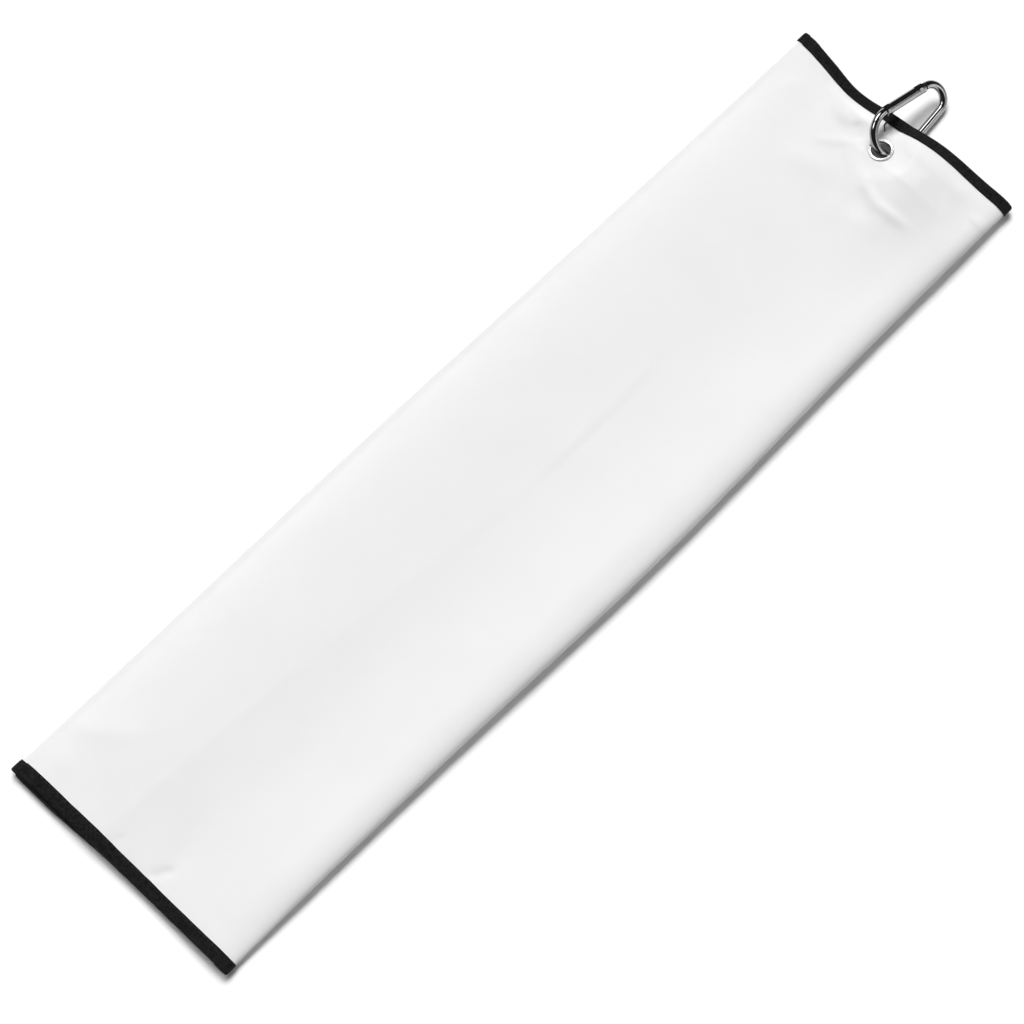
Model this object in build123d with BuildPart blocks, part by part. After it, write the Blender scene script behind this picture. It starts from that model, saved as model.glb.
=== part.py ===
from build123d import *
import os
from math import acos, atan2, cos, degrees, hypot, pi, radians, sin, tan

# Golf towel: one strip of cloth folded in three along its length, edged with tape all round,
# with an eyelet near the top end and a pear-shaped spring-gate carabiner through it.
# Millimetres. X across the folded towel, Y along it towards the eyelet end, Z up from the
# surface it lies on. The origin is under the middle of the whole object's box.

os.makedirs("parts", exist_ok=True)

# ---------------- driving dimensions: towel ----------------
TOWEL_LENGTH = 508.0
FOLDED_WIDTH = 130.0
FLAT_WIDTH = 381.0
CLOTH = 0.8              # cloth thickness
PITCH = 1.8              # from one folded layer to the next
SQUEEZED_PITCH = 0.82    # the same where the eyelet clamps the layers
TAPE = 0.3               # tape thickness
TAPE_WIDTH = 5.4
STITCH_INSET = 0.9       # from the tape's inner edge to the seam
THREAD_WIDTH = 0.4
THREAD_DEPTH = 0.15      # the thread lies flush in the tape

# ---------------- driving dimensions: eyelet ----------------
EYELET_HOLE = 8.7        # narrowest bore
EYELET_OUTER = 12.1
EYELET_WALL = 0.35
EYELET_ROLL = 0.9        # radius of the bore's rolled mouths
EYELET_X = 3.6
EYELET_FROM_TOP = 23.7
EYELET_MIDDLE = 8.3      # height of its middle over the floor
EYELET_TILT = 8.0        # degrees, its right side up

# ---------------- driving dimensions: carabiner ----------------
WIRE = 4.0
WIDE_RADIUS = 11.0       # wire centreline, end through the eyelet
NARROW_RADIUS = 7.1      # wire centreline, hinge end
ARC_SPACING = 26.9       # between the two arcs' centres, along the straight spine
LEAN = 40.0              # degrees, gate side up, spine side on the floor
SLEW = 5.9               # degrees, narrow end towards -X
WIDE_X = 1.2             # centre of the wide arc
WIDE_FROM_TOP = 13.2

# ---------------- driving dimensions: gate ----------------
GATE_DIAMETER = 5.0
GATE_LENGTH = 25.0
NOSE_GAP = 0.35          # body to gate at the nose
SLOT = 1.8               # slots milled at both ends of the gate
NOSE_SLOT_LENGTH = 3.2
HINGE_SLOT_LENGTH = 5.4
TANG = 1.4               # flattened ends of the body
NOSE_TANG_WIDTH = 3.0
NOSE_TANG_REACH = 2.4
RIVET_AT = 22.0          # from the gate's nose end
RIVET = 1.4
SHOULDER_AT = 25.9       # the body's round wire starts again here
GATE_LEAD = 0.6          # straight wire between the wide arc and the gate's nose end
PIN_AT = 1.3
PIN = 1.2
PIN_CLEARANCE = 0.08
RIVET_CLEARANCE = 0.05
HEAD = 2.2               # rivet head's diameter
HEAD_HEIGHT = 0.5
HEAD_SEAT = 2.15         # the heads' seats over the gate's axis
CAM_RADIUS = 1.45
CAM_OFFSET = 0.8         # the cam's centre from the rivet, towards the loop's inside
BORE = 3.4
BORE_END_AT = 8.0
PLUNGER = 3.26
PLUNGER_HEAD = 1.8
PLUNGER_STEM = 1.5
PLUNGER_STEM_LENGTH = 2.4
CAM_CLEARANCE = 0.05
SPRING_WIRE = 0.4
SPRING_DIAMETER = 2.7    # coil centreline
SPRING_TURNS = 8

# ---------------- worked-out sizes ----------------
wire_r = WIRE / 2
gate_r = GATE_DIAMETER / 2
wide_height = wire_r + WIDE_RADIUS * sin(radians(LEAN))   # so that the spine lies on the floor

# The carabiner's own plane: U across towards the spine, V along towards the narrow end.
slew = radians(SLEW)
lean = radians(LEAN)
along = Vector(-sin(slew), cos(slew), 0)
across = Vector(cos(slew) * cos(lean), sin(slew) * cos(lean), -sin(lean))
facing = across.cross(along)

narrow_u = WIDE_RADIUS - NARROW_RADIUS
narrow_y = (Vector(0, 0, 0) + across * narrow_u + along * ARC_SPACING).Y
narrow_reach = NARROW_RADIUS * hypot(across.Y, along.Y) + wire_r
protrusion = narrow_y + narrow_reach - WIDE_FROM_TOP      # carabiner past the towel's top end

top = (TOWEL_LENGTH - protrusion) / 2
bottom = -(TOWEL_LENGTH + protrusion) / 2

wide_centre = Vector(WIDE_X, top - WIDE_FROM_TOP, wide_height)
carabiner_plane = Plane(origin=wide_centre, x_dir=across, z_dir=facing)

# The gate lies along the left tangent of the two arcs.
tangent_angle = atan2(ARC_SPACING, narrow_u) + acos(narrow_u / hypot(narrow_u, ARC_SPACING))
tangent_start = Vector(WIDE_RADIUS * cos(tangent_angle), WIDE_RADIUS * sin(tangent_angle))
gate_direction = Vector(sin(tangent_angle), -cos(tangent_angle))


def on_gate(distance, inward=0.0):
    """A point of the carabiner's plane, from the gate's nose end and from the gate's centreline."""
    distance = distance + GATE_LEAD
    u = tangent_start.X + gate_direction.X * distance + gate_direction.Y * inward
    v = tangent_start.Y + gate_direction.Y * distance - gate_direction.X * inward
    return u, v


def in_row(u, v):
    """A point of the carabiner's plane, in the towel's frame."""
    return wide_centre + across * u + along * v


gate_axis = across * gate_direction.X + along * gate_direction.Y      # nose to hinge
inward_axis = across * gate_direction.Y - along * gate_direction.X    # towards the spine
nose_end = in_row(*on_gate(0))


def gate_section(distance):
    """Plane square to the gate's axis. Its x runs inwards and its z towards the hinge."""
    return Plane(origin=nose_end + gate_axis * distance, x_dir=inward_axis, z_dir=gate_axis)


# ---------------- the folded strip's outline ----------------
# Layer 0 is the outer flap, on the floor. Layer 1 is the inner flap. Layer 2 is the front.
base = TAPE
right_centre = FOLDED_WIDTH / 2 - (2 * PITCH + CLOTH) / 2
left_centre = -FOLDED_WIDTH / 2 + (PITCH + CLOTH) / 2
flap_total = FLAT_WIDTH - (right_centre - left_centre) - pi * PITCH / 2 - pi * PITCH
inner_edge = left_centre + flap_total / 2
outer_edge = right_centre - flap_total / 2

# Three cross-sections of the stack: flat, clamped at the eyelet, and tented over the
# carabiner's spine at the top end. Each gives where the tent starts to rise and stops
# falling, its straight seat, the height under the seat's two ends, and the layers' pitch there.
eyelet_y = top - EYELET_FROM_TOP
squeezed_half = SQUEEZED_PITCH + CLOTH / 2
seat_slope = tan(radians(EYELET_TILT))
SEAT_LEFT = -3.5
SEAT_RIGHT = 11.5


def under_eyelet(x):
    """Height of the clamped stack's underside beside the eyelet."""
    return EYELET_MIDDLE - squeezed_half / cos(radians(EYELET_TILT)) + seat_slope * (x - EYELET_X)


flat = {"tent": (-36, 46), "seat": (SEAT_LEFT, SEAT_RIGHT), "under": (base, base), "pitch": PITCH}
clamped = {
    "tent": (-36, 46),
    "seat": (SEAT_LEFT, SEAT_RIGHT),
    "under": (under_eyelet(SEAT_LEFT), under_eyelet(SEAT_RIGHT)),
    "pitch": SQUEEZED_PITCH,
}
tented = {"tent": (-17, 46), "seat": (5.8, 15.0), "under": (4.65, 4.65), "pitch": 1.45}

# Where those cross-sections stand along the towel, from the bottom end to past the top end.
stations = [
    (bottom + TAPE, flat),
    (top - 76, flat),
    (eyelet_y - 8, clamped),
    (eyelet_y + 8, clamped),
    (top - 11, tented),
    (top + 2, tented),
]


def level(layer):
    """Height of a layer's middle where the stack lies flat."""
    return base + CLOTH / 2 + layer * PITCH


def surface(section, layer, shift, start, end):
    """One face of one layer, from left to right: flat, rise, seat, fall, flat."""
    rise, fall = section["tent"]
    seat_left, seat_right = section["seat"]
    height = level(layer) + shift
    lift = CLOTH / 2 + layer * section["pitch"] + shift
    left = section["under"][0] + lift
    right = section["under"][1] + lift
    slope = (1, (right - left) / (seat_right - seat_left))
    Line((start, height), (rise, height))
    Spline((rise, height), (seat_left, left), tangents=((1, 0), slope))
    Line((seat_left, left), (seat_right, right))
    Spline((seat_right, right), (fall, height), tangents=(slope, (1, 0)))
    Line((fall, height), (end, height))


def fold(x, low, high, side):
    """Half-round fold between two heights, bulging to one side."""
    radius = (high - low) / 2
    ThreePointArc((x, low), (x + side * radius, low + radius), (x, high))


def folded_outline(section, skin):
    """Closed outline of the folded strip, grown by skin on every side."""
    half = CLOTH / 2 + skin
    inner_end = inner_edge + skin
    outer_end = outer_edge - skin
    for shift in (-half, half):
        surface(section, 2, shift, left_centre, right_centre)
        surface(section, 1, shift, left_centre, inner_end)
        surface(section, 0, shift, outer_end, right_centre)
    fold(right_centre, level(0) - half, level(2) + half, 1)
    fold(right_centre, level(0) + half, level(2) - half, 1)
    fold(left_centre, level(1) - half, level(2) + half, -1)
    fold(left_centre, level(1) + half, level(2) - half, -1)
    Line((inner_end, level(1) - half), (inner_end, level(1) + half))
    Line((outer_end, level(0) - half), (outer_end, level(0) + half))


def folded_face(y, section, skin):
    """The folded strip's cross-section at y."""
    with BuildSketch(Plane.XZ.offset(-y)) as face:
        with BuildLine():
            folded_outline(section, skin)
        make_face()
    return face.sketch


def folded_stack(skin, places, mode=Mode.ADD):
    """The folded strip from cross-section to cross-section, in the open BuildPart."""
    for (y_low, low), (y_high, high) in zip(places, places[1:]):
        loft([folded_face(y_low, low, skin), folded_face(y_high, high, skin)], ruled=True, mode=mode)


# The top end isn't straight: it is drawn in to the left of the carabiner.
reach = FOLDED_WIDTH / 2 + 3
top_outline = [
    (-reach, 0),
    (-54, -1),
    (-28, -6.5),
    (0, -5),
    (30, -1),
    (reach, -1.5),
]


def keep_top_band(low, high):
    """Keep only what lies between two distances from the top end."""
    with BuildSketch(Plane.XY.offset(-5)) as band:
        with BuildLine():
            Spline(*[(x, top + y + low) for x, y in top_outline])
            Spline(*[(x, top + y + high) for x, y in top_outline])
            for x, y in (top_outline[0], top_outline[-1]):
                Line((x, top + y + low), (x, top + y + high))
        make_face()
    extrude(band.sketch, amount=40, mode=Mode.INTERSECT)


def finish(piece, label):
    piece.part.label = label
    export_step(piece.part, f"parts/{label}.step")


# ---------------- towel cloth ----------------
eyelet_tilt = radians(EYELET_TILT)
eyelet_plane = Plane(
    origin=(EYELET_X, eyelet_y, EYELET_MIDDLE),
    x_dir=(cos(eyelet_tilt), 0, sin(eyelet_tilt)),
    z_dir=(-sin(eyelet_tilt), 0, cos(eyelet_tilt)),
)
bore_r = EYELET_HOLE / 2
barrel_r = bore_r + EYELET_WALL

with BuildPart() as towel_cloth:
    folded_stack(0, stations)
    keep_top_band(-TOWEL_LENGTH - 20, -TAPE)
    with BuildSketch(eyelet_plane):
        Circle(barrel_r)
    extrude(amount=8, both=True, mode=Mode.SUBTRACT)
finish(towel_cloth, "towel_cloth")

# ---------------- tapes and seams of the two short ends ----------------
seam_near = TAPE_WIDTH - STITCH_INSET
seam_far = seam_near - THREAD_WIDTH
bottom_tape = [(bottom, flat), (bottom + TAPE_WIDTH, flat)]
bottom_seam = [(bottom + seam_far, flat), (bottom + seam_near, flat)]

with BuildPart() as top_stitching:
    folded_stack(TAPE, stations[-2:])
    keep_top_band(-seam_near, -seam_far)
    folded_stack(TAPE - THREAD_DEPTH, stations[-2:], Mode.SUBTRACT)
finish(top_stitching, "top_stitching")

with BuildPart() as top_binding:
    folded_stack(TAPE, stations[-2:])
    keep_top_band(-TAPE_WIDTH, 0)
    add(towel_cloth.part, mode=Mode.SUBTRACT)
    add(top_stitching.part, mode=Mode.SUBTRACT)
finish(top_binding, "top_binding")

with BuildPart() as bottom_stitching:
    folded_stack(TAPE, bottom_seam)
    folded_stack(TAPE - THREAD_DEPTH, bottom_seam, Mode.SUBTRACT)
finish(bottom_stitching, "bottom_stitching")

with BuildPart() as bottom_binding:
    folded_stack(TAPE, bottom_tape)
    add(towel_cloth.part, mode=Mode.SUBTRACT)
    add(bottom_stitching.part, mode=Mode.SUBTRACT)
finish(bottom_binding, "bottom_binding")

# ---------------- tapes and seams of the two long edges, inside and under the fold ----------------
side_start = bottom + TAPE_WIDTH
side_end = top - TAPE_WIDTH - 2.0


def edge_strip(layer, edge, side, near, far, half, mode=Mode.ADD):
    """Bar along a free edge: from near to far inside it, half thick to each side."""
    x_near = edge - side * near
    x_far = edge - side * far
    with BuildSketch(Plane.XZ.offset(-side_start)) as strip:
        with Locations(((x_near + x_far) / 2, level(layer))):
            Rectangle(abs(x_near - x_far), 2 * half)
    extrude(strip.sketch, amount=side_start - side_end, mode=mode)


def edge_seam(layer, edge, side):
    """Two threads, one flush in each face of a long edge's tape."""
    outside = CLOTH / 2 + TAPE
    edge_strip(layer, edge, side, seam_far, seam_near, outside)
    edge_strip(layer, edge, side, seam_far, seam_near, outside - THREAD_DEPTH, Mode.SUBTRACT)


def edge_tape(layer, edge, side, seam):
    """Tape folded round a long edge, less its seam."""
    edge_strip(layer, edge, side, -TAPE, TAPE_WIDTH - TAPE, CLOTH / 2 + TAPE)
    edge_strip(layer, edge, side, 0, TAPE_WIDTH, CLOTH / 2, Mode.SUBTRACT)
    add(seam, mode=Mode.SUBTRACT)


long_edges = (("inner_edge", 1, inner_edge, 1), ("outer_edge", 0, outer_edge, -1))
for edge_name, edge_layer, edge_x, edge_side in long_edges:
    with BuildPart() as edge_stitching:
        edge_seam(edge_layer, edge_x, edge_side)
    finish(edge_stitching, f"{edge_name}_stitching")
    with BuildPart() as edge_binding:
        edge_tape(edge_layer, edge_x, edge_side, edge_stitching.part)
    finish(edge_binding, f"{edge_name}_binding")

# ---------------- eyelet and its washer ----------------
# Profile plane: x outwards from the eyelet's axis, y along the axis.
eyelet_profile = Plane(origin=eyelet_plane.origin, x_dir=(0, 1, 0), z_dir=eyelet_plane.x_dir)
eyelet_axis = Axis(eyelet_plane.origin, eyelet_plane.z_dir)
flange_r = EYELET_OUTER / 2
curl_r = barrel_r + 2 * EYELET_WALL      # where the barrel's end is curled over the washer
lip_high = squeezed_half + EYELET_WALL
washer_low = -squeezed_half - EYELET_WALL
lip_low = washer_low - EYELET_WALL
quarter = EYELET_ROLL * sin(pi / 4)

with BuildPart() as eyelet:
    with BuildSketch(eyelet_profile):
        with BuildLine():
            Line((bore_r, lip_low + EYELET_ROLL), (bore_r, lip_high - EYELET_ROLL))
            ThreePointArc(
                (bore_r, lip_high - EYELET_ROLL),
                (bore_r + EYELET_ROLL - quarter, lip_high - EYELET_ROLL + quarter),
                (bore_r + EYELET_ROLL, lip_high),
            )
            Line((bore_r + EYELET_ROLL, lip_high), (flange_r - EYELET_WALL, lip_high))
            RadiusArc((flange_r - EYELET_WALL, lip_high), (flange_r, squeezed_half), EYELET_WALL)
            Polyline(
                (flange_r, squeezed_half),
                (barrel_r, squeezed_half),
                (barrel_r, washer_low),
                (curl_r, washer_low),
            )
            RadiusArc((curl_r, washer_low), (curl_r, lip_low), EYELET_WALL)
            Line((curl_r, lip_low), (bore_r + EYELET_ROLL, lip_low))
            ThreePointArc(
                (bore_r + EYELET_ROLL, lip_low),
                (bore_r + EYELET_ROLL - quarter, lip_low + EYELET_ROLL - quarter),
                (bore_r, lip_low + EYELET_ROLL),
            )
        make_face()
    revolve(axis=eyelet_axis)
finish(eyelet, "eyelet")

with BuildPart() as eyelet_washer:
    with BuildSketch(eyelet_plane.offset(washer_low)):
        Circle(flange_r)
        Circle(barrel_r, mode=Mode.SUBTRACT)
    extrude(amount=EYELET_WALL)
finish(eyelet_washer, "eyelet_washer")

# ---------------- carabiner body ----------------
tangent_degrees = degrees(tangent_angle)
tang_half = NOSE_TANG_WIDTH / 2
notch_r = PIN / 2 + PIN_CLEARANCE
buried = 0.8             # how far each tang runs into the round wire


def gate_block(half, mode, *points):
    """Block on the carabiner's plane, half thick to each side, from (along, inwards) corners."""
    with BuildSketch(carabiner_plane) as outline:
        with BuildLine():
            Polyline(*[on_gate(*point) for point in points], close=True)
        make_face()
    extrude(outline.sketch, amount=half, both=True, mode=mode)


def gate_disc(half, mode, distance, inward, radius):
    """Disc on the carabiner's plane, half thick to each side."""
    with BuildSketch(carabiner_plane) as outline:
        with Locations(on_gate(distance, inward)):
            Circle(radius)
    extrude(outline.sketch, amount=half, both=True, mode=mode)


def rivet_ends(height, mode):
    """Round blocks over both heads of the rivet, from their seats outwards."""
    for side in (1, -1):
        with BuildSketch(carabiner_plane.offset(side * HEAD_SEAT)) as head:
            with Locations(on_gate(RIVET_AT)):
                Circle(HEAD / 2)
        extrude(head.sketch, amount=side * height, mode=mode)


with BuildPart() as carabiner_body:
    with BuildLine(carabiner_plane) as wire_path:
        Line(on_gate(-NOSE_GAP), (tangent_start.X, tangent_start.Y))
        CenterArc((0, 0), WIDE_RADIUS, tangent_degrees, 360 - tangent_degrees)
        Line((WIDE_RADIUS, 0), (WIDE_RADIUS, ARC_SPACING))
        CenterArc((narrow_u, ARC_SPACING), NARROW_RADIUS, 0, tangent_degrees)
        Line(
            (
                narrow_u + NARROW_RADIUS * cos(tangent_angle),
                ARC_SPACING + NARROW_RADIUS * sin(tangent_angle),
            ),
            on_gate(SHOULDER_AT),
        )
    with BuildSketch(Plane(origin=wire_path.line @ 0, z_dir=wire_path.line % 0)):
        Circle(wire_r)
    sweep()
    # nose: a flat tang with a notch, open inwards, that hooks over the gate's pin
    gate_block(
        TANG / 2,
        Mode.ADD,
        (-NOSE_GAP - buried, -tang_half),
        (NOSE_TANG_REACH, -tang_half),
        (NOSE_TANG_REACH, tang_half),
        (-NOSE_GAP - buried, tang_half),
    )
    gate_disc(TANG, Mode.SUBTRACT, PIN_AT, 0, notch_r)
    gate_block(
        TANG,
        Mode.SUBTRACT,
        (PIN_AT - notch_r, 0),
        (PIN_AT + notch_r, 0),
        (PIN_AT + notch_r, wire_r),
        (PIN_AT - notch_r, wire_r),
    )
    # hinge: a flat tang with the rivet's hole, and a cam for the plunger
    gate_block(
        TANG / 2,
        Mode.ADD,
        (RIVET_AT, -RIVET),
        (RIVET_AT, CAM_OFFSET + CAM_RADIUS / 2),
        (SHOULDER_AT + buried, RIVET),
        (SHOULDER_AT + buried, -RIVET),
    )
    gate_disc(TANG / 2, Mode.ADD, RIVET_AT, 0, RIVET)
    gate_disc(TANG / 2, Mode.ADD, RIVET_AT, CAM_OFFSET, CAM_RADIUS)
    gate_disc(TANG, Mode.SUBTRACT, RIVET_AT, 0, RIVET / 2 + RIVET_CLEARANCE)
finish(carabiner_body, "carabiner_body")

# ---------------- gate ----------------
with BuildPart() as gate:
    with BuildSketch(gate_section(0)):
        Circle(gate_r)
    extrude(amount=GATE_LENGTH)
    chamfer(gate.edges().filter_by(GeomType.CIRCLE), 0.3)
    with BuildSketch(gate_section(BORE_END_AT)):
        Circle(BORE / 2)
    extrude(amount=GATE_LENGTH - BORE_END_AT, mode=Mode.SUBTRACT)
    for low, high in ((-1, NOSE_SLOT_LENGTH), (GATE_LENGTH - HINGE_SLOT_LENGTH, GATE_LENGTH + 1)):
        gate_block(
            SLOT / 2,
            Mode.SUBTRACT,
            (low, -GATE_DIAMETER),
            (high, -GATE_DIAMETER),
            (high, GATE_DIAMETER),
            (low, GATE_DIAMETER),
        )
    gate_disc(GATE_DIAMETER, Mode.SUBTRACT, RIVET_AT, 0, RIVET / 2)
    gate_disc(GATE_DIAMETER, Mode.SUBTRACT, PIN_AT, 0, PIN / 2)
    rivet_ends(GATE_DIAMETER, Mode.SUBTRACT)
finish(gate, "gate")

with BuildPart() as hinge_rivet:
    gate_disc(HEAD_SEAT, Mode.ADD, RIVET_AT, 0, RIVET / 2)
    rivet_ends(HEAD_HEIGHT, Mode.ADD)
    for rim in (0, -1):
        chamfer(hinge_rivet.edges().group_by(Axis((0, 0, 0), facing))[rim], 0.2)
finish(hinge_rivet, "hinge_rivet")

with BuildPart() as nose_pin:
    gate_disc(gate_r - 0.15, Mode.ADD, PIN_AT, 0, PIN / 2)
finish(nose_pin, "nose_pin")

# ---------------- plunger and spring in the gate's bore ----------------
plunger_face = RIVET_AT - CAM_RADIUS - CAM_CLEARANCE
head_back = plunger_face - PLUNGER_HEAD

with BuildPart() as spring_plunger:
    with BuildSketch(gate_section(head_back)):
        Circle(PLUNGER / 2)
    extrude(amount=PLUNGER_HEAD)
    with BuildSketch(gate_section(head_back)):
        Circle(PLUNGER_STEM / 2)
    extrude(amount=-PLUNGER_STEM_LENGTH)
finish(spring_plunger, "spring_plunger")

spring_low = BORE_END_AT + SPRING_WIRE / 2 + 0.02
spring_high = head_back - SPRING_WIRE / 2 - 0.02

with BuildPart() as gate_spring:
    with BuildLine() as coil:
        Helix(
            pitch=(spring_high - spring_low) / SPRING_TURNS,
            height=spring_high - spring_low,
            radius=SPRING_DIAMETER / 2,
            center=gate_section(spring_low).origin,
            direction=gate_axis,
        )
    with BuildSketch(Plane(origin=coil.line @ 0, z_dir=coil.line % 0)):
        Circle(SPRING_WIRE / 2)
    sweep(is_frenet=True)
finish(gate_spring, "gate_spring")
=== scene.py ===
from math import atan, cos, pi, radians, sin

import bmesh
import bpy
import numpy as np
from mathutils import Matrix, Vector, noise


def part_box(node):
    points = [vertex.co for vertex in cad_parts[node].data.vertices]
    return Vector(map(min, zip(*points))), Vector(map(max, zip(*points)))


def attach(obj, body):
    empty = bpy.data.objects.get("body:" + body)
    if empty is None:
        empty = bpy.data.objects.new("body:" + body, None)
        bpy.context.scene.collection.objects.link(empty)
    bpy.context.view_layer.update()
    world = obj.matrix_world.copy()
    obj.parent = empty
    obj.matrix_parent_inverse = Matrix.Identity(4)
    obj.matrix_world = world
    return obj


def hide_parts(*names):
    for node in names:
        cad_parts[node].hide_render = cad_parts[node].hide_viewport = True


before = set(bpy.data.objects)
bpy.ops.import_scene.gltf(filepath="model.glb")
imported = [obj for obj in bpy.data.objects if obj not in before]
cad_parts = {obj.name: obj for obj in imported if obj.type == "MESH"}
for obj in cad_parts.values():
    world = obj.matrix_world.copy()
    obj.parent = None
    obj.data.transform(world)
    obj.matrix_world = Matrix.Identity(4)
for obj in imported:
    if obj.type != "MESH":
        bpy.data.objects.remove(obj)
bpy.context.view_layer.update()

# The towel's looks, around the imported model. Lengths here are in millimetres, in the frame's
# axes: X across the folded towel, Y along it towards the eyelet, Z up from the floor.
MM = 0.001


def corner(node, end):
    """The lowest (0) or highest (1) corner of a CAD node, in millimetres."""
    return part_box(node)[end] / MM


# ---------------- places taken from the frame ----------------
bottom = corner("bottom_binding", 0).y
top = corner("top_binding", 1).y
eyelet = (corner("eyelet", 0) + corner("eyelet", 1)) / 2
flap_inner = corner("inner_edge_binding", 1).x - 0.3      # free edge of the hidden middle layer
flap_outer = corner("outer_edge_binding", 0).x + 0.3      # free edge of the lowest layer

# ---------------- sizes of the cloth, the tape and the thread ----------------
CLOTH = 0.8
TAPE = 0.3
TAPE_WIDTH = 5.4
SEAM_INSET = 0.95            # from the tape's inner edge
STITCH = 2.0
STITCH_PITCH = 2.6
THREAD = 0.46
FLOOR_GAP = 0.58             # the tape under the cloth
EYELET_GRIP = 0.82           # layer spacing in the eyelet's grip
EYELET_TILT = 0.1405         # rise per millimetre across
EYELET_SHIFT = 0.175         # from the middle of its box to the middle of the layers it grips
GRIP_RADIUS = 6.4
HOLE = 4.9


# ---------------- small numeric helpers ----------------
def smooth(t):
    """0 below 0, 1 above 1, and a soft step between."""
    t = np.clip(t, 0.0, 1.0)
    return t * t * (3 - 2 * t)


def through(points, at):
    """A smooth curve through a few (place, value) points, flat past its ends."""
    place, value = np.array(points, float).T
    slope = np.gradient(value, place)
    at = np.clip(at, place[0], place[-1])
    i = np.clip(np.searchsorted(place, at) - 1, 0, len(place) - 2)
    span = place[i + 1] - place[i]
    t = (at - place[i]) / span
    start = (1 + 2 * t) * (1 - t) ** 2 * value[i] + t * (1 - t) ** 2 * span * slope[i]
    return start + t * t * (3 - 2 * t) * value[i + 1] - t * t * (1 - t) * span * slope[i + 1]


def ramp(x, low, high, left, right, seat_left, seat_right):
    """Cross-section of a tent: from 0 at low up to a straight seat and down to 0 at high."""
    slope = (right - left) / (seat_right - seat_left)

    def side(start, end, height, lean):
        t = np.clip((x - start) / (end - start), 0, 1)
        return t * t * (3 - 2 * t) * height - t * t * (1 - t) * (end - start) * lean

    seat = left + slope * (x - seat_left)
    rise = side(low, seat_left, left, slope)
    fall = side(high, seat_right, right, slope)
    return np.where(x < seat_left, rise, np.where(x > seat_right, fall, seat))


def off_line(line, x, y):
    """Distance from a line of points, and how far along it the nearest place is, from 0 to 1."""
    line = np.array(line, float)
    lengths = np.linalg.norm(np.diff(line, axis=0), axis=1)
    before = np.concatenate([[0], np.cumsum(lengths)])
    best = np.full(np.shape(x), np.inf)
    share = np.zeros(np.shape(x))
    for i, length in enumerate(lengths):
        step = (line[i + 1] - line[i]) / length
        t = np.clip((x - line[i, 0]) * step[0] + (y - line[i, 1]) * step[1], 0, length)
        away = np.hypot(x - line[i, 0] - t * step[0], y - line[i, 1] - t * step[1])
        share = np.where(away < best, (before[i] + t) / before[-1], share)
        best = np.minimum(best, away)
    return best, share


# ---------------- how the towel lies ----------------
def bell(at, middle, width):
    """1 at the middle, falling softly to 0 on both sides."""
    return np.exp(-(((at - middle) / width) ** 2))


def left_fold(y):
    """X of the left fold's edge: it bulges a little along the middle of the towel."""
    return -65.4 - 1.6 * bell(y, -50, 130)


def right_fold(y):
    """X of the right fold's edge: fuller in the middle, drawn in towards the eyelet's end."""
    return 65.2 + 3.4 * bell(y, 0, 110) - 0.002 * y


def top_end(x):
    """The top end's outline: drawn in on both sides of the carabiner."""
    return -1.5 * smooth((x + 66) / 20) - 4.8 * bell(x, -26, 18) - 3.2 * bell(x, 4, 16)


def bottom_end(x):
    """The bottom end's outline: nearly straight, rounded off at the left corner."""
    return 0.55 + 0.008 * x - 0.7 * bell(x, -66, 10)


def top_peek(x):
    """How far the hidden layers stick out past the top one at the top end."""
    return 0.9 * bell(x, -59, 8)


def bottom_peek(x):
    """How far the hidden layers stick out past the top one at the bottom end."""
    return 1.9 * bell(x, -46, 28) - 0.3


# Creases of the top layer: a line of (x, y) points, its half width and its height.
CREASES = [
    ([(5, 207), (10, 200), (21, 196), (42, 197)], 2.8, 0.66),
    ([(-38, 232), (-26, 223), (-14, 219)], 3.4, 0.5),
    ([(-9, 214), (-25, 202)], 2.4, 0.26),
    ([(6, 211), (12, 211)], 0.9, -0.25),
    ([(-7, 216), (-12, 220), (-16, 224)], 2.8, -0.8),
    ([(-55, 221), (-36, 212)], 7.0, 0.3),
    ([(17, 217), (32, 218)], 5.0, 0.3),
    ([(-32, 188), (-4, 194)], 6.5, 0.4),
    ([(0, 181), (26, 184)], 6.5, 0.3),
    ([(11, -259), (19, -247)], 2.1, -0.5),
    ([(19, -247), (5, -219)], 5.0, -0.35),
    ([(-11, -259), (-8, -253)], 1.2, -0.3),
    ([(-62, -236), (-34, -216)], 4.6, 0.34),
    ([(-58, -246), (-47, -253)], 3.8, 0.3),
    ([(-46, -164), (-35, -205)], 2.0, -0.13),
    ([(40, 226), (49, 231)], 4.5, 0.3),
    ([(56, 221), (60, 225)], 2.4, 0.35),
]
# The free edge of the hidden flap prints through: the top layer steps down to the right of
# this line of (y, x) points, by the depths below.
IMPRINT = [(-262, -17), (-150, -10), (0, 2), (70, 0), (180, -26)]
IMPRINT_DEPTH = [(-262, 1.7), (-200, 1.7), (-90, 0.55), (60, 0.3), (175, 0)]


def lift(x, y):
    """How far the stack is held up by the carabiner, in its grip at the eyelet and beyond."""
    seat_left, seat_right = -3.5, 11.5
    middle = eyelet.z - 1.5 * EYELET_GRIP - FLOOR_GAP
    left = middle + EYELET_TILT * (seat_left - eyelet.x)
    right = middle + EYELET_TILT * (seat_right - eyelet.x)
    at_eyelet = ramp(x, -40, 63, left, right, seat_left, seat_right)
    at_end = ramp(x, -19, 58, 4.3, 4.3, 5.8, 15.0)
    from_end = [(-130, 0), (-95, 0.06), (-64, 0.3), (-44, 0.66), (-30, 1)]
    low = through([(top + place, held) for place, held in from_end], y)
    past = smooth((y - eyelet.y - 6.5) / (7 + 11 * smooth((x - 1) / 9)))
    return at_eyelet * low * (1 - past) + at_end * past


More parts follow.
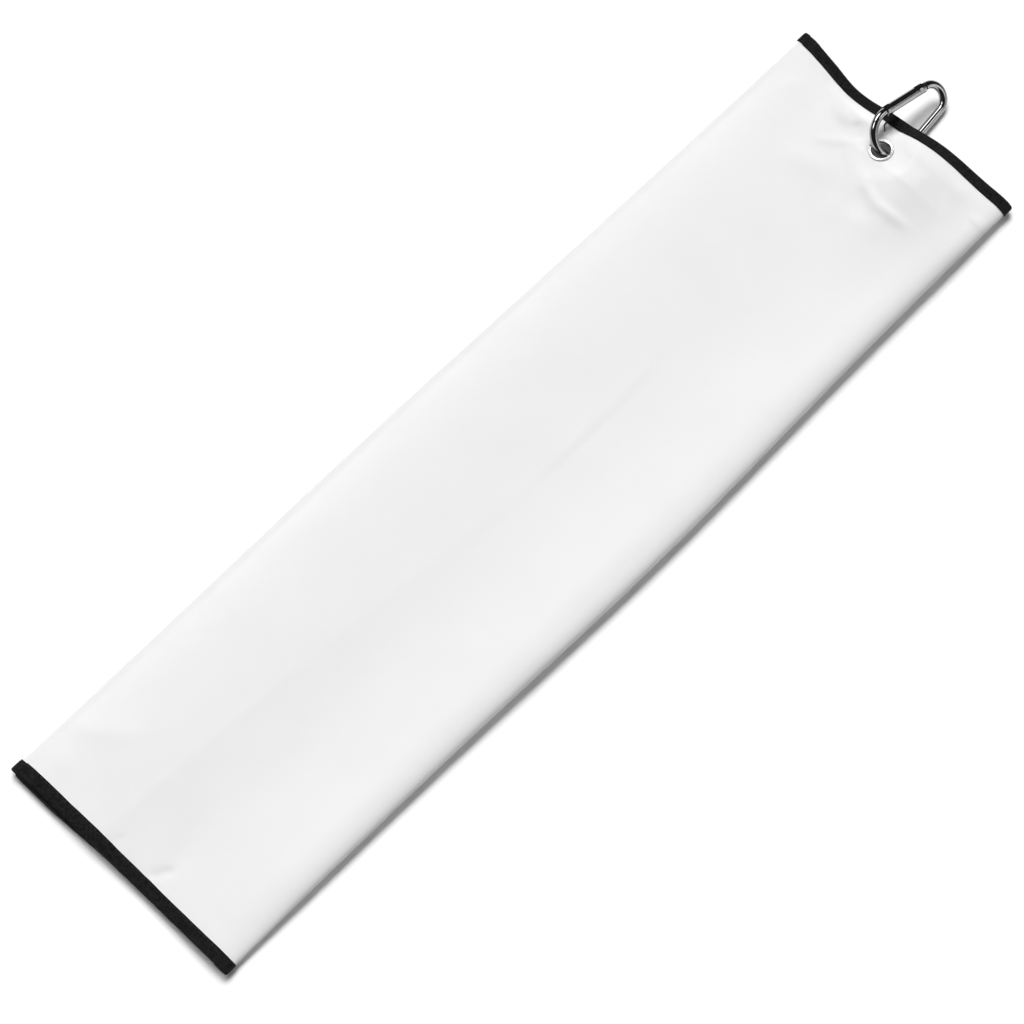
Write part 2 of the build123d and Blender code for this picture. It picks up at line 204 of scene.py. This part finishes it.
def sag(x, y):
    """How far the loose layers drop round the eyelet's grip, where nothing lies under them."""
    before = 1 - smooth((y - eyelet.y + 4) / 16)
    held = smooth(lift(x, y) / 4.0) * (1 - smooth((x - 10) / 20))
    return 1.9 * before * held * (1 - grip(x, y))


def grip(x, y):
    """1 in the eyelet's grip, 0 where the layers lie loose."""
    away = np.hypot(x - eyelet.x, y - eyelet.y)
    return 1 - smooth((away - GRIP_RADIUS) / 11)


def ends(y):
    """1 at the two taped ends, 0 in the loose middle."""
    return 1 - smooth((y - bottom) / 60) * smooth((top - y) / 45)


def pitch(x, y):
    """From one layer to the next: pressed together by the left fold, loose by the right one."""
    across = [(-66, 1.0), (-54, 1.25), (-36, 1.5), (-10, 1.6), (20, 1.7), (54, 1.85), (66, 1.7)]
    loose = through(across, x)
    loose = loose + (1.5 - loose) * (0.6 * ends(y) + 0.15 * smooth((y - top + 40) / 25))
    return loose + (EYELET_GRIP - loose) * grip(x, y)


def fullness(x, y):
    """Extra height of the top layer: it climbs away from the left fold, and again to the right."""
    full = 1 - 0.5 * ends(y)
    climb = [(-66, -1.0), (-60, 0.1), (-54, 0.8), (-44, 1.2), (-30, 1.3), (6, 1.15)]
    climb += [(20, 1.3), (34, 2.0), (46, 2.9), (57, 4.0), (66, 3.6)]
    return through(climb, x) * full * (1 - grip(x, y))


def waviness(x, y, size, seed):
    """Soft random waves of about that size, from -1 to 1."""
    flat = np.stack([np.ravel(x) / size, np.ravel(y) / size], axis=1)
    found = [noise.noise((a, b, seed)) for a, b in flat]
    return np.array(found).reshape(np.shape(x))


def creases(x, y):
    """Ridges and valleys of the top layer."""
    total = 0.2 * waviness(x, y, 30.0, 3.1) + 0.07 * waviness(x, y, 11.0, 7.7)
    width = through([(-262, 32), (-200, 30), (-140, 22), (-90, 12), (180, 8)], y)
    past = np.clip((x - through(IMPRINT, y)) / width, 0, 1)
    total = total - through(IMPRINT_DEPTH, y) * (0.45 * np.sin(past * pi / 2) + 0.55 * past)
    for line, width, height in CREASES:
        away, share = off_line(line, x, y)
        fade = smooth(share / 0.22) * smooth((1 - share) / 0.3) * 0.85 + 0.15
        total = total + height * fade * np.exp(-((away / width) ** 2))
    return total * (1 - grip(x, y))


def layer_height(layer, x, y):
    """Height of the middle of a layer: 0 is on the floor, 1 the hidden flap, 2 the top."""
    height = FLOOR_GAP + CLOTH / 2 + lift(x, y) - sag(x, y) + layer * pitch(x, y)
    if layer == 1:
        height = height + 0.3 * fullness(x, y)
    if layer == 2:
        height = height + fullness(x, y) + creases(x, y)
    return height


# ---------------- columns of the folded strip ----------------
# A column is a place across the strip: which stretch it is on, and how far along it, 0 to 1.
LAYER_0, RIGHT, LAYER_2, LEFT, LAYER_1 = range(5)
RIGHT_NOSE = 7.8             # width of the soft fold on the right
LEFT_NOSE = 3.2


def spread(gaps):
    """Places from 0 to 1, with gaps that are large and small as the list's relative sizes say."""
    places = np.concatenate([[0], np.cumsum(gaps)])
    return places / places[-1]


def fine_middle(count, tight):
    """Gaps for a stretch of count places, smaller by tight around its middle."""
    t = np.linspace(-1, 1, count)
    return spread(1 - (1 - tight) * np.exp(-((t / 0.45) ** 2)))


COLUMNS = (
    [(LAYER_0, t) for t in fine_middle(54, 0.5)]
    + [(RIGHT, t) for t in np.linspace(0, 1, 17)[1:-1]]
    + [(LAYER_2, t) for t in fine_middle(104, 0.5)]
    + [(LEFT, t) for t in np.linspace(0, 1, 11)[1:-1]]
    + [(LAYER_1, t) for t in fine_middle(54, 0.5)]
)
kind = np.array([c[0] for c in COLUMNS])
share = np.array([c[1] for c in COLUMNS])
LAYER_OF = {LAYER_0: 0, LAYER_2: 2, LAYER_1: 1}


def column_x(y):
    """X of every column at y, as if flat: rows of y by columns. Folds get their stretch's end."""
    y = np.asarray(y, float)
    right = right_fold(y) - RIGHT_NOSE
    left = left_fold(y) + LEFT_NOSE
    start = {LAYER_0: flap_outer + 0 * y, RIGHT: right, LAYER_2: right, LEFT: left, LAYER_1: left}
    end = {LAYER_0: right, RIGHT: right, LAYER_2: left, LEFT: left, LAYER_1: flap_inner + 0 * y}
    x = np.zeros(y.shape)
    for k in range(5):
        x = np.where(kind == k, start[k] + (end[k] - start[k]) * share, x)
    return x


def end_shift(x, y):
    """How far the strip's rows are moved along Y near its two ends."""
    hidden = np.isin(kind, (LAYER_0, LAYER_1)) + 0.5 * (kind == LEFT)
    near_top = smooth((y - top + 34) / 34) ** 1.5
    near_bottom = smooth((bottom + 24 - y) / 24)
    at_top = top_end(x) + hidden * top_peek(x)
    at_bottom = bottom_end(x) - hidden * bottom_peek(x)
    return near_top * at_top + near_bottom * at_bottom


def strip(rows):
    """Points of the strip's middle surface for nominal rows of Y: an array rows by columns by 3."""
    y = np.repeat(np.asarray(rows, float)[:, None], len(COLUMNS), axis=1)
    x = column_x(y)
    y = y + end_shift(x, y)
    x = column_x(y)
    z = np.zeros(y.shape)
    for k, layer in LAYER_OF.items():
        on = kind == k
        z[:, on] = layer_height(layer, x[:, on], y[:, on])
    for k, low_layer, side, nose in ((RIGHT, 0, 1, RIGHT_NOSE), (LEFT, 1, -1, LEFT_NOSE)):
        on = kind == k
        low = layer_height(low_layer, x[:, on], y[:, on])
        high = layer_height(2, x[:, on], y[:, on])
        turn = (share[on] - 0.5) * pi * (1 if k == RIGHT else -1)
        squeeze = 1 - 0.45 * ends(y[:, on])
        reach = np.cos(turn) * nose
        x[:, on] += side * (reach * squeeze + (1 - squeeze) * np.where(reach > 0, reach, 0))
        z[:, on] = (low + high) / 2 + (high - low) / 2 * np.sin(turn)
    return np.stack([x, y, z], axis=2)


def normals(points):
    """Unit normals of a grid of points, upwards on the top layer."""
    across = np.gradient(points, axis=1)
    along = np.gradient(points, axis=0)
    n = np.cross(along, across)
    return n / np.maximum(np.linalg.norm(n, axis=2, keepdims=True), 1e-9)


# ---------------- mesh helpers ----------------
def mesh_object(name, points, faces, uv=None):
    """A smooth-shaded object from points in millimetres."""
    mesh = bpy.data.meshes.new(name)
    mesh.from_pydata((np.asarray(points).reshape(-1, 3) * MM).tolist(), [], faces)
    if uv is not None:
        layer = mesh.uv_layers.new(name="flat")
        corners = np.zeros(len(mesh.loops), np.int32)
        mesh.loops.foreach_get("vertex_index", corners)
        layer.data.foreach_set("uv", np.asarray(uv, np.float32).reshape(-1, 2)[corners].ravel())
    mesh.update()
    mesh.shade_smooth()
    made = bpy.data.objects.new(name, mesh)
    bpy.context.scene.collection.objects.link(made)
    return made


def grid_faces(rows, columns, skip=()):
    """Quads of a grid of rows by columns, without those that use a skipped point."""
    skip = set(skip)
    faces = []
    for i in range(rows - 1):
        for j in range(columns - 1):
            a = i * columns + j
            quad = (a, a + 1, a + columns + 1, a + columns)
            if skip.isdisjoint(quad):
                faces.append(quad)
    return faces


def thicken(made, thickness):
    """Gives a sheet its thickness, half to each side, and applies it."""
    solid = made.modifiers.new("thickness", "SOLIDIFY")
    solid.thickness = thickness * MM
    solid.offset = 0
    solid.use_even_offset = True
    graph = bpy.context.evaluated_depsgraph_get()
    mesh = bpy.data.meshes.new_from_object(made.evaluated_get(graph))
    made.modifiers.clear()
    made.data = mesh
    mesh.shade_smooth()
    return made


def flat_sizes(points):
    """Distance along the strip and across it for a grid of points, for the weave."""
    across = np.linalg.norm(np.diff(points, axis=1), axis=2)
    s = np.concatenate([np.zeros((len(points), 1)), np.cumsum(across, axis=1)], axis=1)
    s = np.repeat(s.mean(axis=0)[None, :], len(points), axis=0)
    return np.stack([s, points[:, :, 1]], axis=2)


# ---------------- materials ----------------
def material(name, color, roughness, metallic=0.0, **sockets):
    """A Principled material. Returns it with its node tree and its shader."""
    made = bpy.data.materials.new(name)
    made.use_nodes = True
    tree = made.node_tree
    shader = tree.nodes["Principled BSDF"]
    shader.inputs["Base Color"].default_value = (*color, 1)
    shader.inputs["Roughness"].default_value = roughness
    shader.inputs["Metallic"].default_value = metallic
    for socket, value in sockets.items():
        shader.inputs[socket.replace("_", " ")].default_value = value
    return made, tree, shader


def node(tree, kind_name, links=None, **values):
    """A node with its properties and sockets set, and its inputs linked."""
    made = tree.nodes.new(kind_name)
    for key, value in values.items():
        if hasattr(made, key):
            setattr(made, key, value)
        else:
            made.inputs[key.replace("_", " ")].default_value = value
    for socket, source in (links or {}).items():
        tree.links.new(source, made.inputs[socket])
    return made


def mix_ramp(tree, factor, low, high, low_at=0.0, high_at=1.0):
    """A two-stop colour ramp over a factor."""
    made = node(tree, "ShaderNodeValToRGB", {"Fac": factor})
    stops = made.color_ramp.elements
    stops[0].position, stops[0].color = low_at, (*low, 1)
    stops[1].position, stops[1].color = high_at, (*high, 1)
    return made.outputs["Color"]


def bumps(tree, shader, layers):
    """Chained bumps: (height output, strength, distance in millimetres)."""
    last = None
    for height, strength, distance in layers:
        made = node(tree, "ShaderNodeBump", {"Height": height}, Strength=strength)
        made.inputs["Distance"].default_value = distance * MM
        if last is not None:
            tree.links.new(last, made.inputs["Normal"])
        last = made.outputs["Normal"]
    tree.links.new(last, shader.inputs["Normal"])


def flat_coordinates(tree, across, along):
    """The strip's flat coordinates, in threads: across and along are threads per millimetre."""
    uv = node(tree, "ShaderNodeUVMap", uv_map="flat")
    scale = node(tree, "ShaderNodeMapping", {"Vector": uv.outputs["UV"]})
    scale.inputs["Scale"].default_value = (across, along, 1)
    return scale.outputs["Vector"]


def threads_across(tree, threads, direction, scale, distortion):
    """A wave over the flat coordinates: threads that run across X or Y."""
    made = node(tree, "ShaderNodeTexWave", {"Vector": threads}, bands_direction=direction)
    made.inputs["Scale"].default_value = scale
    made.inputs["Distortion"].default_value = distortion
    return made


def joined(tree, one, other, operation):
    """Two values added or multiplied."""
    return node(tree, "ShaderNodeMath", {0: one, 1: other}, operation=operation).outputs[0]


def uneven_roughness(tree, shader, source, low, high, start=0.0, end=1.0):
    """Roughness from low to high as a texture goes from start to end."""
    rough = node(tree, "ShaderNodeMapRange", {"Value": source})
    for socket, value in (("From Min", start), ("From Max", end), ("To Min", low), ("To Max", high)):
        rough.inputs[socket].default_value = value
    tree.links.new(rough.outputs["Result"], shader.inputs["Roughness"])


def object_noise(tree, scale, detail=3.0, roughness=0.5):
    """Noise over the object's own coordinates, in cells per metre."""
    place = node(tree, "ShaderNodeTexCoord")
    made = node(tree, "ShaderNodeTexNoise", {"Vector": place.outputs["Object"]}, Scale=scale)
    made.inputs["Detail"].default_value = detail
    made.inputs["Roughness"].default_value = roughness
    return made.outputs["Fac"]


def cloth_material():
    """White close-knit microfibre: fine loops with painted shade in their hollows, faint fuzz and a
    slight random unevenness of tone.
    """
    made, tree, shader = material("white_microfibre", (0.8, 0.8, 0.8), 0.95, Sheen_Weight=0.03)
    shader.inputs["Sheen Roughness"].default_value = 0.45
    shader.inputs["IOR"].default_value = 1.03
    loops = flat_coordinates(tree, 1.9, 1.5)
    wale = threads_across(tree, loops, "X", 0.5, 1.2)
    wale.inputs["Detail"].default_value = 1
    course = threads_across(tree, loops, "Y", 0.5, 1.6)
    weave = joined(tree, wale.outputs["Fac"], course.outputs["Fac"], "MULTIPLY")
    fuzz = object_noise(tree, 2600, 4)
    patch = object_noise(tree, 38, 3)
    tint = mix_ramp(tree, patch, (0.786, 0.786, 0.786), (0.794, 0.794, 0.794), 0.3, 0.7)
    # Painted shade: the base colour is darkened where the weave's bump is low, in the hollows between
    # the loops.
    shade = mix_ramp(tree, weave, (0.955, 0.955, 0.955), (1, 1, 1))
    both = node(tree, "ShaderNodeMix", {6: tint, 7: shade}, data_type="RGBA", blend_type="MULTIPLY")
    both.inputs[0].default_value = 1
    tree.links.new(both.outputs[2], shader.inputs["Base Color"])
    mottle = object_noise(tree, 170, 2)
    bumps(tree, shader, [(mottle, 0.35, 0.12), (fuzz, 0.12, 0.1), (weave, 0.22, 0.12)])
    return made


def tape_material():
    """Black ribbed tape: ribs across its width, a weave between them, and a mottle that is partly lint
    and partly painted sheen.
    """
    made, tree, shader = material("black_tape", (0.007, 0.007, 0.007), 0.7)
    shader.inputs["Specular IOR Level"].default_value = 0.16
    threads = flat_coordinates(tree, 1.0, 1.0)
    ribs = threads_across(tree, threads, "X", 0.62, 0.4)
    cross = threads_across(tree, threads, "Y", 0.9, 0.8)
    weave = joined(tree, ribs.outputs["Fac"], cross.outputs["Fac"], "ADD")
    lint_and_sheen = object_noise(tree, 700, 5, 0.7)
    # The mottle runs from near-black to dark grey. It is partly the tape's lint and partly painted
    # sheen, standing in for the specks where the tape catches the light.
    tint = mix_ramp(tree, lint_and_sheen, (0.0015, 0.0015, 0.0015), (0.026, 0.026, 0.026), 0.32, 0.72)
    tree.links.new(tint, shader.inputs["Base Color"])
    bumps(tree, shader, [(lint_and_sheen, 0.6, 0.2), (weave, 0.8, 0.16)])
    return made


def thread_material():
    """Black sewing thread, twisted."""
    made, tree, shader = material("black_thread", (0.02, 0.02, 0.02), 0.6)
    shader.inputs["Specular IOR Level"].default_value = 0.2
    twist = object_noise(tree, 3200, 2)
    tint = mix_ramp(tree, twist, (0.006, 0.006, 0.006), (0.034, 0.034, 0.034), 0.35, 0.7)
    tree.links.new(tint, shader.inputs["Base Color"])
    bumps(tree, shader, [(twist, 0.6, 0.08)])
    return made


def metal_material(name, color, low, high, scratch):
    """Plated metal: a mirror finish with fine scratches and slightly duller patches."""
    made, tree, shader = material(name, color, low, 1.0)
    patch = object_noise(tree, 260, 4, 0.6)
    uneven_roughness(tree, shader, patch, low, high, 0.3, 0.75)
    dark = tuple(c * 0.86 for c in color)
    tint = mix_ramp(tree, patch, dark, color, 0.25, 0.6)
    tree.links.new(tint, shader.inputs["Base Color"])
    fine = object_noise(tree, 1400, 6, 0.7)
    bumps(tree, shader, [(fine, scratch, 0.03)])
    return made


def brushed_material():
    """Turned steel for the pins, the plunger and the spring."""
    made, tree, shader = material("turned_steel", (0.55, 0.55, 0.56), 0.3, 1.0)
    lines = object_noise(tree, 1800, 5, 0.6)
    uneven_roughness(tree, shader, lines, 0.2, 0.42)
    bumps(tree, shader, [(lines, 0.12, 0.04)])
    return made


# ---------------- the cloth ----------------
def rows_along():
    """Nominal Y of the strip's rows: close together at the two ends."""
    low = np.arange(bottom, bottom + 36, 1.5)
    middle = np.arange(bottom + 36, top - 84, 3.0)
    high = np.arange(top - 84, top, 1.0)
    return np.concatenate([low, middle, high, [top]])


def folded_cloth():
    """The strip, folded in three, with the eyelet's hole through all its layers."""
    points = strip(np.clip(rows_along(), bottom + TAPE, top - TAPE))
    away = np.hypot(points[:, :, 0] - eyelet.x, points[:, :, 1] - eyelet.y)
    inside = np.flatnonzero(away.ravel() < HOLE)
    rows, columns = away.shape
    made = mesh_object("folded_cloth", points, grid_faces(rows, columns, inside), flat_sizes(points))
    mesh = bmesh.new()
    mesh.from_mesh(made.data)
    bmesh.ops.delete(mesh, geom=[v for v in mesh.verts if not v.link_faces], context="VERTS")
    for v in mesh.verts:
        reach = Vector((v.co.x / MM - eyelet.x, v.co.y / MM - eyelet.y))
        if v.is_boundary and reach.length < HOLE + 2:
            reach *= HOLE / reach.length
            v.co.x, v.co.y = (eyelet.x + reach.x) * MM, (eyelet.y + reach.y) * MM
    mesh.to_mesh(made.data)
    mesh.free()
    return thicken(made, CLOTH - 0.04)


# ---------------- the tapes ----------------
SEAM = TAPE_WIDTH - SEAM_INSET
TAPE_OFF = CLOTH / 2 + TAPE / 2 + 0.01


def tape_profile():
    """Steps across a folded tape: how far inside the edge, and the turn round it in degrees."""
    flat = [TAPE_WIDTH, TAPE_WIDTH - 0.2, SEAM + 0.3, SEAM, SEAM - 0.35, SEAM - 0.8, 2.4, 1.2, 0.4]
    steps = [(inside, 90.0) for inside in flat]
    steps += [(0.0, turn) for turn in (90, 60, 30, 0, -30, -60, -90)]
    return steps + [(inside, -90.0) for inside in reversed(flat)]


def tape_lift(inside):
    """The tape is pressed down at its edge and along its seam, and full between them."""
    edge = 0.1 * np.exp(-(((inside - TAPE_WIDTH) / 0.35) ** 2))
    seam = 0.15 * np.exp(-(((inside - SEAM) / 0.4) ** 2))
    return 0.12 - edge - seam


def tape_mesh(name, base, sideways):
    """A tape round an edge. base(inside) gives points and normals inside the edge."""
    profile = tape_profile()
    edge, edge_normal = base(0.0)
    inner = base(0.6)[0]
    outwards = edge - inner
    outwards = outwards / np.linalg.norm(outwards, axis=1, keepdims=True)
    run = np.concatenate([[0], np.cumsum(np.linalg.norm(np.diff(edge, axis=0), axis=1))])
    ripple = np.array([noise.noise((s / 7.0, sideways, 0.3)) for s in run])
    wander = np.array([noise.noise((s / 22.0, sideways, 4.3)) for s in run])
    rows = []
    uv = []
    for inside, turn in profile:
        swing = radians(turn)
        here = inside + (0.22 * wander + 0.12 * ripple) * (inside > SEAM)
        points, normal = base(inside) if inside else (edge, edge_normal)
        points = points - outwards * (here - inside)[:, None]
        off = TAPE_OFF + tape_lift(inside) + 0.1 * ripple * (0.2 < inside < SEAM)
        push = normal * sin(swing) + outwards * cos(swing)
        rows.append(points + push * off[:, None])
        way = inside if turn > 0 else -inside
        uv.append(np.stack([run, np.full(len(run), way + turn / 90 * TAPE_OFF)], axis=1))
    rows = np.array(rows)
    made = mesh_object(name, rows, grid_faces(*rows.shape[:2]), np.array(uv))
    return thicken(made, TAPE)


def end_base(at_top):
    """base() for the tape of a short end."""
    direction = 1 if at_top else -1
    end = top if at_top else bottom

    def base(inside):
        y = end - direction * (TAPE + inside)
        points = strip([y - 0.5, y, y + 0.5])
        return points[1], normals(points)[1]

    return base


def long_edge_base(inner_flap):
    """base() for the tape of a long edge."""
    layer = 1 if inner_flap else 0
    edge = flap_inner if inner_flap else flap_outer
    direction = 1 if inner_flap else -1
    rows = np.concatenate([np.arange(bottom + 6, top - 7, 2.4), [top - 7]])

    def base(inside):
        x = np.full(len(rows), edge - direction * inside)
        points = np.stack([x, rows, layer_height(layer, x, rows)], axis=1)
        normal = np.repeat([[0.0, 0.0, 1.0]], len(rows), axis=0)
        return points, normal

    return base


# ---------------- the seams ----------------
def seam_lines(base):
    """The seam's line on both faces of a tape, and the normals there."""
    points, normal = base(SEAM)
    off = TAPE_OFF + TAPE / 2 + tape_lift(SEAM) + THREAD * 0.22
    return [(points + side * off * normal, side * normal) for side in (1, -1)]


def resampled(points, step):
    """Places evenly spaced along a line."""
    run = np.concatenate([[0], np.cumsum(np.linalg.norm(np.diff(points, axis=0), axis=1))])
    return run, np.arange(step / 2, run[-1] - step / 2, step)


def stitch_mesh(name, lines, seed):
    """Separate stitches along each line: short threads that dive in at both ends."""
    around = 8
    along = [(-1.0, 0.0, -0.5), (-0.93, 0.6, -0.3), (-0.7, 0.95, -0.05), (0.0, 1.0, 0.0)]
    along = along + [(-t, r, drop) for t, r, drop in reversed(along[:-1])]
    random = np.random.default_rng(seed)
    points = []
    faces = []
    for line, normal in lines:
        run, at = resampled(line, STITCH_PITCH)
        for s in at + random.uniform(-0.12, 0.12, len(at)):
            half = STITCH / 2 * random.uniform(0.93, 1.04)
            start, middle, end = [
                np.array([np.interp(s + d, run, line[:, k]) for k in range(3)]) for d in (-half, 0, half)
            ]
            up = np.array([np.interp(s, run, normal[:, k]) for k in range(3)])
            way = (end - start) / max(np.linalg.norm(end - start), 1e-9)
            side = np.cross(way, up)
            skew = random.uniform(-0.06, 0.06)
            first = len(points)
            for t, radius, drop in along:
                centre = middle + way * t * half + up * drop * THREAD + side * skew * t
                for i in range(around):
                    turn = 2 * pi * i / around
                    spoke = side * cos(turn) * 1.1 + up * sin(turn) * 0.85
                    points.append(centre + spoke * radius * THREAD / 2)
            for ring in range(len(along) - 1):
                for i in range(around):
                    a, b = first + ring * around + i, first + ring * around + (i + 1) % around
                    faces.append((a, b, b + around, a + around))
    made = mesh_object(name, points, faces)
    mesh = bmesh.new()
    mesh.from_mesh(made.data)
    bmesh.ops.remove_doubles(mesh, verts=mesh.verts, dist=1e-6)
    mesh.to_mesh(made.data)
    mesh.free()
    made.data.shade_smooth()
    return made


def eyelet_mesh():
    """The eyelet: a beaded rim, a rolled mouth, the barrel, and its end curled over the washer."""
    rim = [(6.05, 1.22), (6.05, 1.36), (5.97, 1.50), (5.82, 1.59), (5.64, 1.61), (5.46, 1.55)]
    mouth = [(5.34, 1.46), (5.24, 1.42), (5.12, 1.45), (4.98, 1.50), (4.82, 1.46), (4.64, 1.34)]
    barrel = [(4.49, 1.14), (4.39, 0.88), (4.35, 0.55), (4.35, -1.02), (4.42, -1.36), (4.61, -1.66)]
    curl = [(4.91, -1.86), (5.25, -1.92), (5.42, -1.82), (5.42, -1.64), (5.25, -1.575)]
    curl += [(4.72, -1.575), (4.72, 1.21)]
    profile = rim + mouth + barrel + curl
    tilt = Matrix.Rotation(-atan(EYELET_TILT), 3, "Y")
    around = 120
    points = []
    for i in range(around):
        turn = 2 * pi * i / around
        for r, z in profile:
            points.append(eyelet + tilt @ Vector((r * cos(turn), r * sin(turn), z + EYELET_SHIFT)))
    count = len(profile)
    faces = []
    for i in range(around):
        for k in range(count):
            a, b = i * count + k, i * count + (k + 1) % count
            c, d = (b + count) % len(points), (a + count) % len(points)
            faces.append((a, b, c, d))
    made = mesh_object("beaded_eyelet", points, faces)
    made.data.set_sharp_from_angle(angle=radians(50))
    return made


def black_strand():
    """A short thin black strand, hanging from the top tape's inner edge beside the carabiner."""
    line = [(-5.2, 232.4), (-5.1, 231.2), (-4.7, 230.1), (-3.9, 229.3), (-3.0, 228.6), (-2.5, 227.7)]
    above = [0.75, 0.95, 0.8, 0.7, 0.6, 0.55]
    steps = np.linspace(0, len(line) - 1, 26)
    fine = np.stack([np.interp(steps, range(len(line)), each) for each in zip(*line)], axis=1)
    z = layer_height(2, fine[:, 0], fine[:, 1]) + np.interp(steps, range(len(line)), above)
    curve = bpy.data.curves.new("black_strand", "CURVE")
    curve.dimensions = "3D"
    curve.bevel_depth = 0.3 * MM
    curve.bevel_resolution = 2
    curve.use_fill_caps = True
    spline = curve.splines.new("POLY")
    spline.points.add(len(fine) - 1)
    for point, (x, y), h in zip(spline.points, fine, z):
        point.co = (x * MM, y * MM, h * MM, 1)
    drawn = bpy.data.objects.new("drawn_strand", curve)
    mesh = bpy.data.meshes.new_from_object(drawn)
    bpy.data.objects.remove(drawn)
    made = bpy.data.objects.new("black_strand", mesh)
    bpy.context.scene.collection.objects.link(made)
    mesh.shade_smooth()
    return made


# ---------------- making it all ----------------
white_cloth = cloth_material()
black_tape = tape_material()
black_thread = thread_material()
# The carabiner's plating gets a much darker grey than the eyelet's nickel. This is painted shade, so
# that the white floor it mirrors comes out dark grey.
shade_darkened_plate = metal_material("nickel_with_painted_shade", (0.40, 0.40, 0.41), 0.06, 0.15, 0.05)
eyelet_plate = metal_material("eyelet_nickel", (0.78, 0.78, 0.79), 0.08, 0.2, 0.06)
turned_steel = brushed_material()

cloth = folded_cloth()
cloth.data.materials.append(white_cloth)
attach(cloth, "towel")
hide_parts("towel_cloth")

going = []
PARTS = (
    ("top", end_base(True), 1.0, 11),
    ("bottom", end_base(False), 2.0, 12),
    ("inner_edge", long_edge_base(True), 3.0, 13),
    ("outer_edge", long_edge_base(False), 4.0, 14),
)
for part, base, sideways, seed in PARTS:
    tape = tape_mesh(f"{part}_tape", base, sideways)
    tape.data.materials.append(black_tape)
    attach(tape, "towel")
    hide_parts(f"{part}_binding")
    seam = stitch_mesh(f"{part}_seam", seam_lines(base), seed)
    seam.data.materials.append(black_thread)
    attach(seam, "towel")
    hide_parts(f"{part}_stitching")
    going += [tape, seam]

beaded = eyelet_mesh()
beaded.data.materials.append(eyelet_plate)
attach(beaded, "towel")
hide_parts("eyelet")
tail = black_strand()
tail.data.materials.append(black_thread)
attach(tail, "towel")
going += [beaded, tail]

metals = {
    "eyelet_washer": eyelet_plate,
    "carabiner_body": shade_darkened_plate,
    "gate": shade_darkened_plate,
    "hinge_rivet": turned_steel,
    "nose_pin": turned_steel,
    "spring_plunger": turned_steel,
    "gate_spring": turned_steel,
}
for name, finish in metals.items():
    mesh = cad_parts[name].data
    mesh.materials.clear()
    mesh.materials.append(finish)
    mesh.shade_smooth()
    mesh.set_sharp_from_angle(angle=radians(32))


# ---------------- floor, light and camera ----------------
def floor_piece():
    """A plain pale floor, with a very slight mottle."""
    bpy.ops.mesh.primitive_plane_add(size=30, location=(0, 0, 0))
    made = bpy.context.object
    made.name = "floor"
    pale, tree, shader = material("pale_floor", (0.93, 0.93, 0.93), 0.9)
    shader.inputs["Specular IOR Level"].default_value = 0.0
    shader.inputs["Emission Color"].default_value = (1, 1, 1, 1)
    shader.inputs["Emission Strength"].default_value = 0.03
    mottle = mix_ramp(tree, object_noise(tree, 20, 2), (0.925, 0.925, 0.925), (0.935, 0.935, 0.935))
    tree.links.new(mottle, shader.inputs["Base Color"])
    made.data.materials.append(pale)
    return made


floor = floor_piece()

world = bpy.data.worlds.new("studio")
bpy.context.scene.world = world
world.use_nodes = True
sky = world.node_tree
direction = node(sky, "ShaderNodeTexCoord").outputs["Generated"]


def softbox(azimuth, elevation, inner, outer, strength):
    """A round soft light at infinity. The angles are in degrees, azimuth from +Y towards -X."""
    a, e = radians(azimuth), radians(elevation)
    towards = (-sin(a) * cos(e), cos(a) * cos(e), sin(e))
    angle = node(sky, "ShaderNodeVectorMath", {0: direction}, operation="DOT_PRODUCT")
    angle.inputs[1].default_value = towards
    value = angle.outputs["Value"]
    glow = node(sky, "ShaderNodeMapRange", {"Value": value}, interpolation_type="SMOOTHSTEP")
    glow.inputs["From Min"].default_value = cos(radians(outer))
    glow.inputs["From Max"].default_value = cos(radians(inner))
    glow.inputs["To Max"].default_value = strength
    return glow.outputs["Result"]


BOXES = ((70, 56, 12, 18, 5.0), (128, 60, 8, 13, 4.0), (-45, 42, 4, 7, 3.5), (-75, 18, 12, 25, 1.3))
ROOM_GLOW = 0.03
light = softbox(*BOXES[0])
for box in BOXES[1:]:
    light = joined(sky, light, softbox(*box), "ADD")
light = node(sky, "ShaderNodeMath", {0: light}, operation="ADD")
light.inputs[1].default_value = ROOM_GLOW
sky.links.new(light.outputs[0], sky.nodes["Background"].inputs["Strength"])
sky.nodes["Background"].inputs["Color"].default_value = (1, 1, 1, 1)
key = bpy.data.lights.new("key", "SUN")
key.energy = 2.75
key.angle = radians(34)
key_light = bpy.data.objects.new("key", key)
key_light.rotation_euler = Vector((0.495, -0.505, -0.72)).to_track_quat("-Z", "Y").to_euler()
key_light.visible_glossy = False
bpy.context.scene.collection.objects.link(key_light)
bpy.context.scene.view_settings.view_transform = "Standard"

# The camera looks down at the towel from its right and its bottom end.
AZIMUTH = 44.38
ELEVATION = 68.46
DISTANCE = 1.5
TARGET = Vector((0.0053, -0.0288, 0.00275))
heading = Vector((-sin(radians(AZIMUTH)), cos(radians(AZIMUTH)), 0))
forward = heading * cos(radians(ELEVATION)) - Vector((0, 0, sin(radians(ELEVATION))))
camera_data = bpy.data.cameras.new("camera")
camera_data.lens = 117.8
camera_data.sensor_width = 36
camera = bpy.data.objects.new("camera", camera_data)
camera.location = TARGET - forward * DISTANCE
camera.rotation_euler = forward.to_track_quat("-Z", "Y").to_euler()
bpy.context.scene.collection.objects.link(camera)
bpy.context.scene.camera = camera

bpy.context.view_layer.update()
